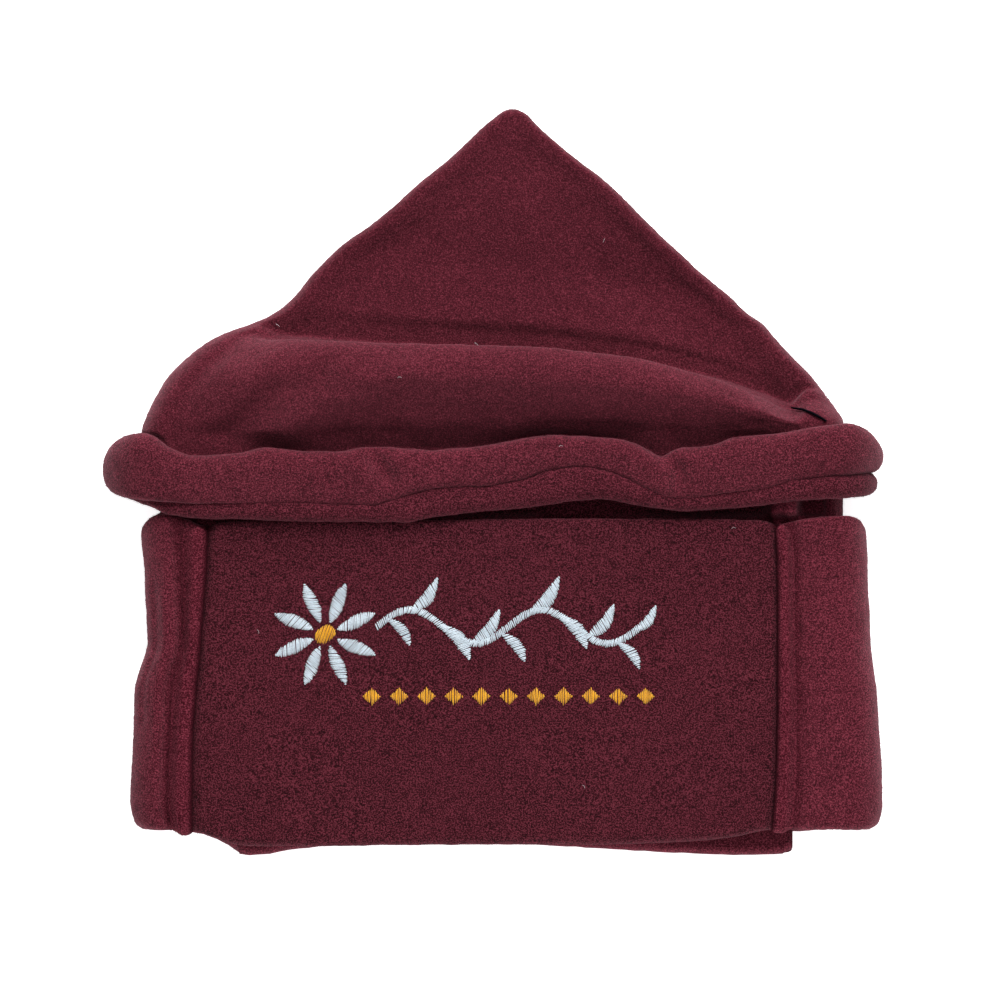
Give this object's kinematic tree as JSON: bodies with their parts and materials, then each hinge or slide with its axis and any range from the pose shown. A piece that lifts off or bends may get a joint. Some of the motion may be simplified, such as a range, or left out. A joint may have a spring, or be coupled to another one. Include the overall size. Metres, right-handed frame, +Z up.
{
  "type": "pakol hat",
  "caption": "Soft fleece pakol hat folded flat: crown drawn up into a triangle with a slouched fold, rolled rim, and a deep band turned up as a cuff, open at the mouth.",
  "frame": {"origin": "on the underside, at the middle of the cuff, where the hat lies on its back", "axes": "+X to the right across the front as it is seen, +Y from the mouth to the crown's tip, +Z up from the table out of the cuff's front"},
  "size_m": [0.305, 0.2927, 0.0377],
  "materials": {
    "maroon_fleece": "brushed fleece, matt with a soft nap"
  },
  "bodies": {
    "root": {"crown": "maroon_fleece", "crown_roll": "maroon_fleece", "band_roll": "maroon_fleece", "front_panel": "maroon_fleece", "right_side_panel": "maroon_fleece", "back_panel": "maroon_fleece", "left_side_panel": "maroon_fleece", "front_left_welt": "maroon_fleece", "front_right_welt": "maroon_fleece", "back_right_welt": "maroon_fleece", "back_left_welt": "maroon_fleece"}
  },
  "joints": []
}
